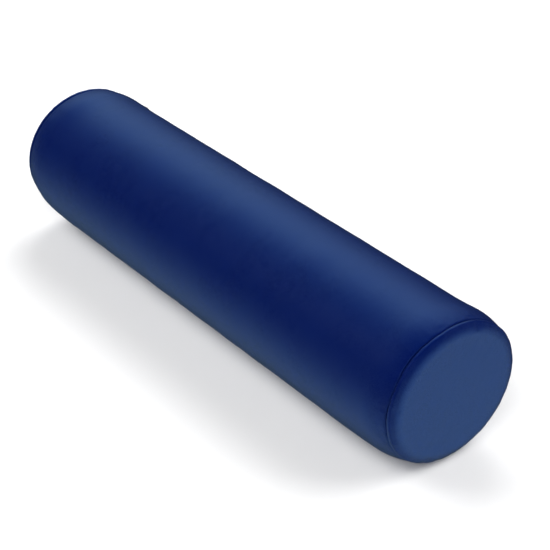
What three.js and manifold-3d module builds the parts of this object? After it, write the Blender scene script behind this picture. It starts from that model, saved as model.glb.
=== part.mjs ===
// A full-round treatment-table bolster: a firm foam roll in a sewn vinyl cover with a zip along its back.
// Millimetres, +Z up, X along the roll, origin under its middle on the surface it lies on.
// The near end is at +X, and the zip runs along the +Y side at the height of the roll's axis.
//
// The cover is drawn in skin coordinates. u is the distance along the outside, from an end's centre over
// its soft shoulder to the seam and on along the tube, and depth is how far a point lies under the outside.
// So each layer of vinyl, seam allowance and padding is a short list of (u, depth) corners.
import * as THREE from "three";
import { mergeVertices } from "three/addons/utils/BufferGeometryUtils.js";
import Module from "manifold-3d";

// The roll
const BODY_RADIUS = 76.2; // outside of the vinyl tube before it is laid down, a 6 inch roll
const OVERALL_LENGTH = 614; // a 24 inch roll with its two soft ends
const HALF_LENGTH = OVERALL_LENGTH / 2;

// How the roll lies: its weight makes the section a little wider than it is high, and presses a strip flat
const SPREAD = 0.029;
const REST_HALF_WIDTH = 12;
const SIDE = BODY_RADIUS * (1 + SPREAD);
const HALF_HEIGHT = BODY_RADIUS * (1 - SPREAD);
const AXIS_HEIGHT = HALF_HEIGHT * Math.sqrt(1 - (REST_HALF_WIDTH / SIDE) ** 2);

// The ends
const CROWN_HEIGHT = 9; // from the end seam out to the flat middle of the end panel
const FACE_RADIUS = 60; // the flat middle
const CROWN_POWER = 2; // superellipse power of the shoulder round it
const SEAM_RADIUS = 71.5;
const TAPER_LENGTH = 27; // the tube narrows to the seam over this length
const END_LIFT = 4.5; // the ends rise this much, as the tube's weight hangs in its seams
const LIFT_LENGTH = 72;
const SEAM_X = HALF_LENGTH - CROWN_HEIGHT;
const TAPER_X = SEAM_X - TAPER_LENGTH;
const LIFT_X = HALF_LENGTH - LIFT_LENGTH;

// Sheet stock and padding
const VINYL = 1.1;
const GAP = 0.3; // clearance between pieces that touch
const SEAM_GROOVE = 1.4; // the valley between tube and end panel, where the thread lies
const SEAM_ALLOWANCE = 9;
const WRAP_THICKNESS = 5;
const CORE_GAP = 0.6; // clearance round the core
const CORE_HALF_LENGTH = 296;
const CORE_EDGE_RADIUS = 16;
const PAD_RADIUS = 62;
const THREAD_RADIUS = 0.3;

// The zip, a standard number 5 coil chain
const SLOT_HALF_LENGTH = 268;
const SLOT_HALF_WIDTH = 6;
const HEM_WIDTH = 14; // of the sleeve's edge that is turned under on each side of the slot
const CHAIN_HALF_LENGTH = 262;
const COIL_INNER = 0.95; // from the middle of the chain to the coil's near side
const COIL_WIDTH = 2.45;
const COIL_HEIGHT = 2.2;
const TAPE_THICKNESS = 0.6;
const TAPE_INNER = 1.2;
const TAPE_OUTER = 15;
const TAPE_HALF_LENGTH = 275;
const STOP_LENGTH = 3;
const STITCH_OFFSET = 9.5; // from the middle of the chain to a row of topstitching
const TACK_HALF_LENGTH = 9;
const TACK_WIDTH = 1.6;
const TACK_INSET = 0.5; // from the end of the slot to the bar tack

// The slider and its pull
const SLIDER_LENGTH = 12;
const SLIDER_FRONT_WIDTH = 10;
const SLIDER_REAR_WIDTH = 9.4;
const PLATE = 1.1;
const PLATE_CLEARANCE = 0.4;
const TAPE_CLEARANCE = 0.7; // more, because the tapes curve in round the roll
const FLANGE_INNER = 3.85;
const POST_HALF_WIDTH = 0.6;
const POST_LENGTH = 4;
const BAIL_HALF_LENGTH = 2.5;
const BAIL_HEIGHT = 3.2;
const BAIL_WIDTH = 2.4;
const BAIL_WALL = 1.1;
const PULL_LENGTH = 27;
const PULL_THICKNESS = 1.2;
const PULL_EYE_WIDTH = 5.4;
const PULL_TIP_WIDTH = 6.6;
const SLIDER_STOP_GAP = 0.2;

// The care label, blank
const LABEL_WIDTH = 26;
const LABEL_LENGTH = 32;
const LABEL_THICKNESS = 0.5;

const ROUND_SEGMENTS = 48;

// Depths of the layers under the outside
const ALLOWANCE_TOP = VINYL + GAP;
const ALLOWANCE_BOTTOM = ALLOWANCE_TOP + VINYL;
const FLANGE_TOP = ALLOWANCE_BOTTOM + GAP;
const FLANGE_BOTTOM = FLANGE_TOP + VINYL;
const PAD_TOP = FLANGE_BOTTOM + GAP;
const WRAP_TOP = VINYL + 2 * GAP;
const WRAP_BOTTOM = WRAP_TOP + WRAP_THICKNESS;
const WRAP_INNER_RADIUS = BODY_RADIUS - WRAP_BOTTOM;
const CORE_RADIUS = WRAP_INNER_RADIUS - CORE_GAP;
const TAPE_TOP = ALLOWANCE_BOTTOM + GAP;
const TAPE_BOTTOM = TAPE_TOP + TAPE_THICKNESS;

const wasm = await Module();
wasm.setup();

const navyVinyl = new THREE.MeshStandardMaterial({ color: 0x1a2f66, roughness: 0.42, metalness: 0 });
const navyThread = new THREE.MeshStandardMaterial({ color: 0x14244f, roughness: 0.6, metalness: 0 });
const navyTape = new THREE.MeshStandardMaterial({ color: 0x141f42, roughness: 0.85, metalness: 0 });
const navyCoil = new THREE.MeshStandardMaterial({ color: 0x15224a, roughness: 0.45, metalness: 0 });
const enamel = new THREE.MeshStandardMaterial({ color: 0x202a4c, roughness: 0.35, metalness: 0.3 });
const stopMetal = new THREE.MeshStandardMaterial({ color: 0xa8a9ad, roughness: 0.35, metalness: 1 });
const foam = new THREE.MeshStandardMaterial({ color: 0xe6dfc8, roughness: 0.95, metalness: 0 });
const batting = new THREE.MeshStandardMaterial({ color: 0xf2f2ee, roughness: 1, metalness: 0 });
const ribbon = new THREE.MeshStandardMaterial({ color: 0xf0efe9, roughness: 0.8, metalness: 0 });

const bolster = new THREE.Group();

function addPiece(name, geometry, material, parent = bolster) {
  const mesh = new THREE.Mesh(geometry, material);
  mesh.name = name;
  parent.add(mesh);
  return mesh;
}

// Solids and booleans

function toSolid(geometry) {
  const bare = geometry.index ? geometry.clone() : mergeVertices(geometry);
  bare.deleteAttribute("normal");
  bare.deleteAttribute("uv");
  const merged = mergeVertices(bare, 1e-3);
  return new wasm.Manifold(
    new wasm.Mesh({
      numProp: 3,
      vertProperties: new Float32Array(merged.getAttribute("position").array),
      triVerts: new Uint32Array(merged.index.array),
    }),
  );
}

function toGeometry(solid) {
  const mesh = solid.getMesh();
  const geometry = new THREE.BufferGeometry();
  geometry.setAttribute("position", new THREE.BufferAttribute(mesh.vertProperties, 3));
  geometry.setIndex(new THREE.BufferAttribute(mesh.triVerts, 1));
  geometry.computeVertexNormals();
  return geometry;
}

function box(x, y, z) {
  const [width, height, depth] = [x, y, z].map(([low, high]) => high - low);
  const [cx, cy, cz] = [x, y, z].map(([low, high]) => (low + high) / 2);
  return new THREE.BoxGeometry(width, height, depth).translate(cx, cy, cz);
}

// A box at the zip, placed in the roll's own frame. y is measured out from the tube's surface there.
function zipBox(x, y, z) {
  return toSolid(box(x, y, z).translate(0, SIDE, AXIS_HEIGHT));
}

// Skin coordinates

function crownDrop(r) {
  const share = Math.max(0, (r - FACE_RADIUS) / (SEAM_RADIUS - FACE_RADIUS));
  return CROWN_HEIGHT * (1 - (1 - share ** CROWN_POWER) ** (1 / CROWN_POWER));
}

function tubeRadius(x) {
  const share = Math.max(0, (x - TAPER_X) / TAPER_LENGTH);
  return BODY_RADIUS - (BODY_RADIUS - SEAM_RADIUS) * share ** 2;
}

// The outside of the +X half, from the end's centre to the tube's middle, as finely spaced points.
const outline = [new THREE.Vector2(HALF_LENGTH, 0)];
const OUTLINE_STEPS = 200;
for (let i = 0; i <= OUTLINE_STEPS; i++) {
  const share = Math.sin((Math.PI / 2) * (i / OUTLINE_STEPS));
  const r = FACE_RADIUS + (SEAM_RADIUS - FACE_RADIUS) * share;
  outline.push(new THREE.Vector2(HALF_LENGTH - crownDrop(r), r));
}
const SEAM_POINT = outline.length - 1;
for (let i = 1; i <= OUTLINE_STEPS; i++) {
  const x = SEAM_X - (TAPER_LENGTH * i) / OUTLINE_STEPS;
  outline.push(new THREE.Vector2(x, tubeRadius(x)));
}
const TAPER_POINT = outline.length - 1;
outline.push(new THREE.Vector2(0, BODY_RADIUS));

const distance = [0];
for (let i = 1; i < outline.length; i++) {
  distance.push(distance[i - 1] + outline[i].distanceTo(outline[i - 1]));
}
const SEAM_U = distance[SEAM_POINT];
const TAPER_U = distance[TAPER_POINT];
const LIFT_U = TAPER_U + TAPER_X - LIFT_X;

function inwardNormal(i) {
  const before = outline[Math.max(i - 1, 0)];
  const after = outline[Math.min(i + 1, outline.length - 1)];
  const along = new THREE.Vector2().subVectors(after, before).normalize();
  return new THREE.Vector2(-along.y, along.x);
}

// One corner of a layer: its place along the roll (x), its radius (r) and its depth.
function skin(u, depth) {
  const last = outline.length - 1;
  const i = Math.min(Math.max(distance.findIndex((d) => d > u), 1), last);
  const share = (u - distance[i - 1]) / (distance[i] - distance[i - 1]);
  const point = outline[i - 1].clone().lerp(outline[i], share);
  const normal = inwardNormal(i - 1).lerp(inwardNormal(i), share).normalize();
  return { x: point.x + normal.x * depth, r: Math.max(0, point.y + normal.y * depth), depth };
}

const FACE_U = FACE_RADIUS;

function stepped(u0, u1, steps) {
  return Array.from({ length: steps }, (_, i) => u0 + ((u1 - u0) * i) / steps);
}

// Every layer has its corners at these places, so the layers stay parallel where the skin curves.
const STOPS = [
  ...stepped(FACE_U, SEAM_U - SEAM_ALLOWANCE, 5),
  ...stepped(SEAM_U - SEAM_ALLOWANCE, SEAM_U, 4),
  ...stepped(SEAM_U, TAPER_U, 4),
  TAPER_U,
];

// The corners of a layer's face from u0 to u1.
function run(u0, u1, depth) {
  const [low, high] = u0 < u1 ? [u0, u1] : [u1, u0];
  const between = STOPS.filter((u) => u > low + 0.2 && u < high - 0.2);
  const places = [low, ...between, high];
  if (u0 > u1) {
    places.reverse();
  }
  return places.map((u) => skin(u, depth));
}

function crownRun(u1, depth) {
  return [{ ...skin(0, depth), r: 0 }, ...run(FACE_U, u1, depth)];
}

// The same corners at the other end of the roll, in the order that keeps the faces pointing out.
function mirrored(corners) {
  return corners.map((corner) => ({ ...corner, x: -corner.x })).reverse();
}

function endLift(x) {
  const share = Math.max(0, (Math.abs(x) - LIFT_X) / LIFT_LENGTH);
  return END_LIFT * share ** 2;
}

// Turns a closed profile about the roll's axis, then lays it down: it spreads a little, its ends rise, and
// its underside settles flat on the surface, where no corner goes lower than its own depth.
function revolve(corners) {
  const profile = corners.map(({ x, r }) => new THREE.Vector2(r, x));
  const geometry = new THREE.LatheGeometry(profile, ROUND_SEGMENTS);
  geometry.rotateZ(-Math.PI / 2).scale(1, 1 + SPREAD, 1 - SPREAD).translate(0, 0, AXIS_HEIGHT);
  const position = geometry.getAttribute("position");
  for (let i = 0; i < position.count; i++) {
    const { x, depth } = corners[i % corners.length];
    position.setZ(i, Math.max(position.getZ(i) + endLift(x), depth));
  }
  return geometry;
}

function closed(corners) {
  return [...corners, corners[0]];
}

// A tube of one thickness round the straight part of the roll.
function band(top, bottom, halfLength) {
  const outer = BODY_RADIUS - top;
  const inner = BODY_RADIUS - bottom;
  const half = [
    { x: LIFT_X, r: outer, depth: top },
    { x: halfLength, r: outer, depth: top },
    { x: halfLength, r: inner, depth: bottom },
    { x: LIFT_X, r: inner, depth: bottom },
  ];
  return toSolid(revolve(closed([...half, ...mirrored(half)])));
}

// The cover's panels

// The tube of the cover. Its ends turn in at the seam as allowances under the end panels, and its two long
// edges turn under as hems on both sides of the zip.
function sleevePanel() {
  const edge = SEAM_U + SEAM_GROOVE / 2;
  const half = [
    ...run(LIFT_U, edge, 0),
    ...run(edge, SEAM_U - SEAM_ALLOWANCE, FLANGE_TOP),
    ...run(SEAM_U - SEAM_ALLOWANCE, edge + VINYL, FLANGE_BOTTOM),
    ...run(edge + VINYL, LIFT_U, VINYL),
  ];
  const tube = toSolid(revolve(closed([...half, ...mirrored(half)])));
  const slotX = [-SLOT_HALF_LENGTH, SLOT_HALF_LENGTH];
  const slot = zipBox(slotX, [-10, 5], [-SLOT_HALF_WIDTH, SLOT_HALF_WIDTH]);
  const hemReach = SLOT_HALF_WIDTH + HEM_WIDTH;
  const hem = band(ALLOWANCE_TOP, ALLOWANCE_BOTTOM, SLOT_HALF_LENGTH).intersect(
    zipBox(slotX, [-20, 5], [-hemReach, hemReach]),
  );
  const foldReach = SLOT_HALF_WIDTH + VINYL;
  const fold = band(VINYL / 2, ALLOWANCE_BOTTOM, SLOT_HALF_LENGTH).intersect(
    zipBox(slotX, [-20, 5], [-foldReach, foldReach]),
  );
  return toGeometry(tube.add(hem).add(fold).subtract(slot));
}

// A round end: flat middle, soft shoulder, and its own allowance folded back under it at the seam.
function endPanelCorners() {
  const edge = SEAM_U - SEAM_GROOVE / 2;
  const outside = crownRun(edge, 0);
  const inside = [
    ...run(edge, SEAM_U - SEAM_ALLOWANCE, ALLOWANCE_BOTTOM),
    ...run(SEAM_U - SEAM_ALLOWANCE, edge - VINYL, ALLOWANCE_TOP),
    ...crownRun(edge - VINYL, VINYL).reverse(),
  ];
  return [...outside, ...inside].reverse();
}

// The thread that closes an end seam, lying in the valley.
function seamThreadCorners() {
  const { x, r } = skin(SEAM_U, VINYL / 2);
  const sides = 6;
  const corners = Array.from({ length: sides }, (_, i) => {
    const turn = (2 * Math.PI * i) / sides;
    return { x: x - THREAD_RADIUS * Math.cos(turn), r: r + THREAD_RADIUS * Math.sin(turn), depth: 0 };
  });
  return closed(corners);
}

// The filling

function foamCore() {
  const flatRadius = CORE_RADIUS - CORE_EDGE_RADIUS;
  const flatX = CORE_HALF_LENGTH - CORE_EDGE_RADIUS;
  const edgeSteps = 4;
  const half = [{ x: CORE_HALF_LENGTH, r: 0, depth: 0 }];
  for (let i = 0; i <= edgeSteps; i++) {
    const turn = (Math.PI / 2) * (i / edgeSteps);
    half.push({
      x: flatX + CORE_EDGE_RADIUS * Math.cos(turn),
      r: flatRadius + CORE_EDGE_RADIUS * Math.sin(turn),
      depth: WRAP_BOTTOM + CORE_GAP,
    });
  }
  half.push({ ...half[half.length - 1], x: LIFT_X });
  const nearEnd = [...half].reverse();
  return revolve([...mirrored(nearEnd), ...nearEnd]);
}

// Batting round the core. Its two long edges stop short of the zip, so that the slider can't catch in it.
function fibreWrap() {
  const end = SEAM_U + 12;
  const half = [
    ...run(LIFT_U, end, WRAP_TOP),
    { ...skin(end, WRAP_BOTTOM), r: WRAP_INNER_RADIUS },
    { x: LIFT_X, r: WRAP_INNER_RADIUS, depth: WRAP_BOTTOM },
  ];
  const tube = toSolid(revolve(closed([...half, ...mirrored(half)])));
  const reach = SLOT_HALF_WIDTH + HEM_WIDTH + GAP;
  const opening = zipBox([-HALF_LENGTH, HALF_LENGTH], [-20, 5], [-reach, reach]);
  return toGeometry(tube.subtract(opening));
}

// A disc of batting that fills an end's crown.
function endPadCorners() {
  const back = CORE_HALF_LENGTH + GAP;
  const front = [{ ...skin(0, PAD_TOP), r: 0 }, ...run(FACE_U, PAD_RADIUS, PAD_TOP)];
  const rim = front[front.length - 1];
  return [...front, { x: back, r: rim.r, depth: 0 }, { x: back, r: 0, depth: 0 }].reverse();
}

// The zip

// One half of the tape, curved round the roll under the hem. side is +1 above the chain, -1 below it.
function zipTape(side) {
  const across = [TAPE_INNER * side, TAPE_OUTER * side].sort((a, b) => a - b);
  const strip = zipBox([-TAPE_HALF_LENGTH, TAPE_HALF_LENGTH], [-20, 5], across);
  return toGeometry(band(TAPE_TOP, TAPE_BOTTOM, TAPE_HALF_LENGTH).intersect(strip));
}

const COIL_BOTTOM = -TAPE_TOP + GAP;
const COIL_TOP = COIL_BOTTOM + COIL_HEIGHT;

function beside(side, inner, outer) {
  return side > 0 ? [inner, outer] : [-outer, -inner];
}

// One row of coil, as a plain bar of the coil's outer size.
function zipCoil(side) {
  return box(
    [-CHAIN_HALF_LENGTH, CHAIN_HALF_LENGTH],
    [COIL_BOTTOM, COIL_TOP],
    beside(side, COIL_INNER, COIL_INNER + COIL_WIDTH),
  );
}

function topStop(side) {
  const end = -CHAIN_HALF_LENGTH - GAP;
  const reach = COIL_INNER + COIL_WIDTH;
  return box([end - STOP_LENGTH, end], [COIL_BOTTOM, COIL_TOP], beside(side, COIL_INNER, reach));
}

function bottomStop() {
  const end = CHAIN_HALF_LENGTH + GAP;
  const reach = COIL_INNER + COIL_WIDTH;
  return box([end, end + STOP_LENGTH], [COIL_BOTTOM, COIL_TOP], [-reach, reach]);
}

// A shield-shaped slider plate, wide at the front, seen from above, with rounded corners.
function sliderPlate(bottom) {
  const half = SLIDER_LENGTH / 2;
  const front = SLIDER_FRONT_WIDTH / 2;
  const rear = SLIDER_REAR_WIDTH / 2;
  const corner = 1.6;
  const shape = new THREE.Shape()
    .moveTo(-half + corner, -front)
    .lineTo(half - corner, -rear)
    .quadraticCurveTo(half, -rear, half, -rear + corner)
    .lineTo(half, rear - corner)
    .quadraticCurveTo(half, rear, half - corner, rear)
    .lineTo(-half + corner, front)
    .quadraticCurveTo(-half, front, -half, front - corner)
    .lineTo(-half, -front + corner)
    .quadraticCurveTo(-half, -front, -half + corner, -front);
  const extrusion = { depth: PLATE, bevelEnabled: false, curveSegments: 3 };
  const plate = new THREE.ExtrudeGeometry(shape, extrusion);
  return plate.rotateX(-Math.PI / 2).translate(0, bottom, 0);
}

const TOP_PLATE = COIL_TOP + PLATE_CLEARANCE;
const BOTTOM_PLATE = -TAPE_BOTTOM - TAPE_CLEARANCE - PLATE;
const PLATE_TOP = TOP_PLATE + PLATE;
const PIVOT_HEIGHT = PLATE_TOP + (BAIL_HEIGHT - BAIL_WALL) / 2;

// The arch on the slider that holds the pull.
function sliderBail() {
  const sink = PLATE / 2;
  const top = PLATE_TOP + BAIL_HEIGHT;
  const shoulder = 1.2;
  const inner = BAIL_HALF_LENGTH - BAIL_WALL;
  const arch = new THREE.Shape()
    .moveTo(-BAIL_HALF_LENGTH, PLATE_TOP - sink)
    .lineTo(BAIL_HALF_LENGTH, PLATE_TOP - sink)
    .lineTo(BAIL_HALF_LENGTH, top - shoulder)
    .quadraticCurveTo(BAIL_HALF_LENGTH, top, BAIL_HALF_LENGTH - shoulder, top)
    .lineTo(-BAIL_HALF_LENGTH + shoulder, top)
    .quadraticCurveTo(-BAIL_HALF_LENGTH, top, -BAIL_HALF_LENGTH, top - shoulder)
    .lineTo(-BAIL_HALF_LENGTH, PLATE_TOP - sink);
  arch.holes.push(
    new THREE.Path()
      .moveTo(-inner, PLATE_TOP)
      .lineTo(-inner, top - BAIL_WALL)
      .lineTo(inner, top - BAIL_WALL)
      .lineTo(inner, PLATE_TOP)
      .lineTo(-inner, PLATE_TOP),
  );
  const extrusion = { depth: BAIL_WIDTH, bevelEnabled: false, curveSegments: 3 };
  const bail = new THREE.ExtrudeGeometry(arch, extrusion);
  return bail.translate(0, 0, -BAIL_WIDTH / 2);
}

// Two plates joined by the post between the coils, side flanges that hold the coils in, and the bail.
function zipSlider() {
  const half = SLIDER_LENGTH / 2;
  const flangeX = [-half + 1.6, half - 1.6];
  const flangeY = [-TAPE_TOP + PLATE_CLEARANCE, TOP_PLATE + PLATE / 2];
  let slider = toSolid(sliderPlate(TOP_PLATE)).add(toSolid(sliderPlate(BOTTOM_PLATE)));
  for (const side of [1, -1]) {
    const flangeZ = beside(side, FLANGE_INNER, SLIDER_REAR_WIDTH / 2);
    slider = slider.add(toSolid(box(flangeX, flangeY, flangeZ)));
  }
  const postX = [-half + 0.5, -half + 0.5 + POST_LENGTH];
  const postY = [BOTTOM_PLATE + PLATE / 2, TOP_PLATE + PLATE / 2];
  slider = slider.add(toSolid(box(postX, postY, [-POST_HALF_WIDTH, POST_HALF_WIDTH])));
  return toGeometry(slider.add(toSolid(sliderBail())));
}

// A flat tab with an eye at one end. Its crossbar, at the origin, passes under the bail.
function zipPullTab() {
  const bar = PULL_THICKNESS / 2;
  const eye = PULL_EYE_WIDTH / 2;
  const tip = PULL_TIP_WIDTH / 2;
  const end = PULL_LENGTH - bar;
  const holeHalfWidth = 1.6;
  const holeEnd = 4;
  const waist = 9;
  const shape = new THREE.Shape()
    .moveTo(-bar, -eye)
    .lineTo(holeEnd + 1, -eye)
    .bezierCurveTo(waist, -eye, waist, -tip, waist + 4, -tip)
    .lineTo(end - tip, -tip)
    .absarc(end - tip, 0, tip, -Math.PI / 2, Math.PI / 2, false)
    .lineTo(waist + 4, tip)
    .bezierCurveTo(waist, tip, waist, eye, holeEnd + 1, eye)
    .lineTo(-bar, eye)
    .lineTo(-bar, -eye);
  shape.holes.push(
    new THREE.Path()
      .moveTo(bar, -holeHalfWidth)
      .lineTo(bar, holeHalfWidth)
      .lineTo(holeEnd, holeHalfWidth)
      .lineTo(holeEnd, -holeHalfWidth)
      .lineTo(bar, -holeHalfWidth),
  );
  const extrusion = { depth: PULL_THICKNESS, bevelEnabled: false, curveSegments: 4 };
  const tab = new THREE.ExtrudeGeometry(shape, extrusion);
  return tab.rotateX(-Math.PI / 2).translate(0, -bar, 0);
}

// Threads on the outside

// A row of topstitching beside the zip, as one straight thread just over the vinyl.
function topstitch(side) {
  const length = 2 * (SLOT_HALF_LENGTH + TACK_WIDTH);
  const sunk = SIDE * (1 - Math.sqrt(1 - (STITCH_OFFSET / HALF_HEIGHT) ** 2));
  const height = -sunk + GAP + THREAD_RADIUS;
  return new THREE.CylinderGeometry(THREAD_RADIUS, THREAD_RADIUS, length, 6)
    .rotateZ(Math.PI / 2)
    .translate(0, height, STITCH_OFFSET * side);
}

// The short dense bar of stitches across an end of the zip.
function barTack(end) {
  const over = band(-GAP - 2 * THREAD_RADIUS, -GAP, TAPER_X);
  const start = SLOT_HALF_LENGTH + TACK_INSET;
  const along = beside(end, start, start + TACK_WIDTH);
  return toGeometry(over.intersect(zipBox(along, [-20, 5], [-TACK_HALF_LENGTH, TACK_HALF_LENGTH])));
}

// A woven ribbon label caught in the far end seam, lying on the tube above the zip.
function careLabel() {
  const strip = closed([
    ...run(SEAM_U + SEAM_GROOVE, SEAM_U + LABEL_LENGTH, -GAP - LABEL_THICKNESS),
    ...run(SEAM_U + LABEL_LENGTH, SEAM_U + SEAM_GROOVE, -GAP),
  ].reverse());
  const ring = toSolid(revolve(mirrored(strip)));
  const low = AXIS_HEIGHT + TAPE_OUTER + 5;
  const place = toSolid(box([-HALF_LENGTH, 0], [0, 2 * BODY_RADIUS], [low, low + LABEL_WIDTH]));
  return toGeometry(ring.intersect(place));
}

// Assembly

addPiece("sleeve_panel", sleevePanel(), navyVinyl);
for (const [end, place] of [["near", (corners) => corners], ["far", mirrored]]) {
  addPiece(`${end}_end_panel`, revolve(place(endPanelCorners())), navyVinyl);
  addPiece(`${end}_seam_thread`, revolve(place(seamThreadCorners())), navyThread);
  addPiece(`${end}_end_pad`, revolve(place(endPadCorners())), batting);
}
addPiece("foam_core", foamCore(), foam);
addPiece("fibre_wrap", fibreWrap(), batting);
addPiece("care_label", careLabel(), ribbon);
addPiece("near_bar_tack", barTack(1), navyThread);
addPiece("far_bar_tack", barTack(-1), navyThread);

const zip = new THREE.Group();
zip.position.set(0, SIDE, AXIS_HEIGHT);
bolster.add(zip);
for (const [row, side] of [["upper", 1], ["lower", -1]]) {
  addPiece(`zip_tape_${row}`, zipTape(side), navyTape);
  addPiece(`zip_coil_${row}`, zipCoil(side), navyCoil, zip);
  addPiece(`zip_top_stop_${row}`, topStop(side), stopMetal, zip);
  addPiece(`zip_topstitch_${row}`, topstitch(side), navyThread, zip);
}
addPiece("zip_bottom_stop", bottomStop(), stopMetal, zip);

// The slider rests closed, at the far end against the top stops, with its pull lying back along the chain.
const slider = new THREE.Group();
slider.position.x = -CHAIN_HALF_LENGTH + SLIDER_LENGTH / 2 + SLIDER_STOP_GAP;
zip.add(slider);
addPiece("zip_slider", zipSlider(), enamel, slider);
const pull = addPiece("zip_pull_tab", zipPullTab(), enamel, slider);
pull.position.y = PIVOT_HEIGHT;

export default bolster;
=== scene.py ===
"""A full-round treatment-table bolster in navy vinyl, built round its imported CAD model.

Shapes are worked out in millimetres in the CAD frame (X along the roll, near end at +X, zip on +Y, Z up)
and scaled to metres when a mesh is made.
"""
import math

import bmesh
import bpy
import numpy as np
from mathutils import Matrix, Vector


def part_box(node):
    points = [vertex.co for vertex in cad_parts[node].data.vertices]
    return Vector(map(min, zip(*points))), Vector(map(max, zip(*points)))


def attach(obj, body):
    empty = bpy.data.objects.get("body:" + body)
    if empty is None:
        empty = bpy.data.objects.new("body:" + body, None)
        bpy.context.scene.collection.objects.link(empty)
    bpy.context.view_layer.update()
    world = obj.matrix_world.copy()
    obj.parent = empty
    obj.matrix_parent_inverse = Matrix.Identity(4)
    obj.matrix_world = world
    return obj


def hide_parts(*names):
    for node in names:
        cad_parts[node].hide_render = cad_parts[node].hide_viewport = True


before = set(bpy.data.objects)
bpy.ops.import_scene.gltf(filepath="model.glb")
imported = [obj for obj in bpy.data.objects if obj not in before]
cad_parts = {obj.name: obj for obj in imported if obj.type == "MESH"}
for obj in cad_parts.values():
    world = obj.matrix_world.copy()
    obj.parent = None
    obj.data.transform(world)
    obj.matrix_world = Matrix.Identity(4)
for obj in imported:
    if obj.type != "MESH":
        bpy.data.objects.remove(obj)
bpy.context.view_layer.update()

MM = 0.001


def cad(node):
    """A node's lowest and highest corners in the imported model, in millimetres."""
    low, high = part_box(node)
    return np.array(low) / MM, np.array(high) / MM


# ---- the roll's own sizes ----

TAU = 2 * math.pi
SPREAD = 0.029  # the roll's weight makes its section this share wider and lower
WIDER, LOWER = 1 + SPREAD, 1 - SPREAD
SIDE = cad("sleeve_panel")[1][1]
RADIUS = SIDE / WIDER
HALF_LENGTH = cad("near_end_panel")[1][0]
AXIS_Z = (cad("zip_coil_upper")[0][2] + cad("zip_coil_lower")[1][2]) / 2
CROWN_HEIGHT, FACE_RADIUS, SEAM_RADIUS = 9.0, 60.0, 71.5
FACE_BEND, SHOULDER_BEND = 1.7, 2.2  # powers of the bend round the flat face and of the shoulder
TAPER_LENGTH = 27.0  # the tube narrows to the seam over this length
END_LIFT, LIFT_LENGTH = 4.5, 72.0  # how far the ends rise, and over what length
SEAM_X = HALF_LENGTH - CROWN_HEIGHT
TAPER_X = SEAM_X - TAPER_LENGTH
VINYL = 1.0
FOLD = 1.25  # radius of the sleeve's folded edge along the zip
SLOT_X, SLOT_Z = 268.0, 6.0  # half of the zip's opening
EDGE_X, EDGE_Z = SLOT_X + FOLD, SLOT_Z + FOLD
STITCH_Z = 9.5  # from the zip's middle line to its topstitching
HEM, END_HEM = 13.0, 5.0  # vinyl turned under along the slot's sides, and at its ends
ALLOWANCE = 8.0  # vinyl turned in at an end seam
SETTLE = 0.35  # softness of the edge of the underside's flat
DENT_DEPTH = 1.2  # how deep the vinyl's unevenness reaches under its outside
DRIFT_REACH = 14.0  # how far from a seam the vinyl follows the seam's wandering
SEAM_SEEDS = {1: 31, -1: 47}  # for the near and the far end seam
CLOSE = 0.01  # a tolerance for comparing places
ABOVE = (0, 0, 400)  # a point well above the roll


# ---- the skin ----


def crown_x(r):
    """How far along the roll the end's outside lies: a flat face, a crisp bend and a rounded shoulder."""
    share = np.clip((r - FACE_RADIUS) / (SEAM_RADIUS - FACE_RADIUS), 0, 1)
    return HALF_LENGTH - CROWN_HEIGHT * (1 - (1 - share**FACE_BEND) ** (1 / SHOULDER_BEND))


TAPER_POINTS, CROWN_POINTS = 300, 400


def make_outline():
    """The outside of the +X half as (w, x, r, inward normal), w measured from the tube's middle."""
    taper = np.linspace(TAPER_X, SEAM_X, TAPER_POINTS)
    share = (taper - TAPER_X) / TAPER_LENGTH
    tube_r = RADIUS - (RADIUS - SEAM_RADIUS) * share**2
    turn = np.linspace(math.pi / 2, 0, CROWN_POINTS)[1:]
    crown_r = FACE_RADIUS + (SEAM_RADIUS - FACE_RADIUS) * np.sin(turn)
    x = np.concatenate([[0], taper, crown_x(crown_r), [HALF_LENGTH]])
    r = np.concatenate([[RADIUS], tube_r, crown_r, [0]])
    w = np.concatenate([[0], np.cumsum(np.hypot(np.diff(x), np.diff(r)))])
    tx, tr = np.gradient(x, w), np.gradient(r, w)
    length = np.hypot(tx, tr)
    return w, x, r, tr / length, -tx / length


OUT_W, OUT_X, OUT_R, OUT_NX, OUT_NR = make_outline()
W_SEAM = float(OUT_W[TAPER_POINTS])
W_END = float(OUT_W[-1])
W_FACE = W_END - FACE_RADIUS


def end_lift(x):
    """How far the roll's ends rise, as the tube's weight hangs in its seams."""
    share = np.maximum(0, (np.abs(x) - HALF_LENGTH + LIFT_LENGTH) / LIFT_LENGTH)
    return END_LIFT * share**2


def settle(z, floor):
    """A smooth maximum, so that the underside meets the surface without a crease."""
    return floor + SETTLE * np.logaddexp(0, (z - floor) / SETTLE)


def place(w, depth, angle):
    """Points of the roll: w along the skin, depth under it, angle round it from the zip towards the top."""
    w, depth, angle = np.broadcast_arrays(w, depth, angle)
    side, m = np.sign(w), np.abs(w)
    x = side * (np.interp(m, OUT_W, OUT_X) + np.interp(m, OUT_W, OUT_NX) * depth)
    r = np.interp(m, OUT_W, OUT_R) + np.interp(m, OUT_W, OUT_NR) * depth
    r = np.maximum(r, 0)
    y = r * np.cos(angle) * WIDER
    z = AXIS_Z + r * np.sin(angle) * LOWER + end_lift(x)
    return np.stack([x, y, settle(z, np.maximum(depth, 0))], -1)


def angle_at(height):
    """The angle whose skin lies this far above the zip's middle line."""
    return np.arcsin(np.asarray(height, float) / (RADIUS * LOWER))


def height_at(angle):
    return np.sin(angle) * RADIUS * LOWER


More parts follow.
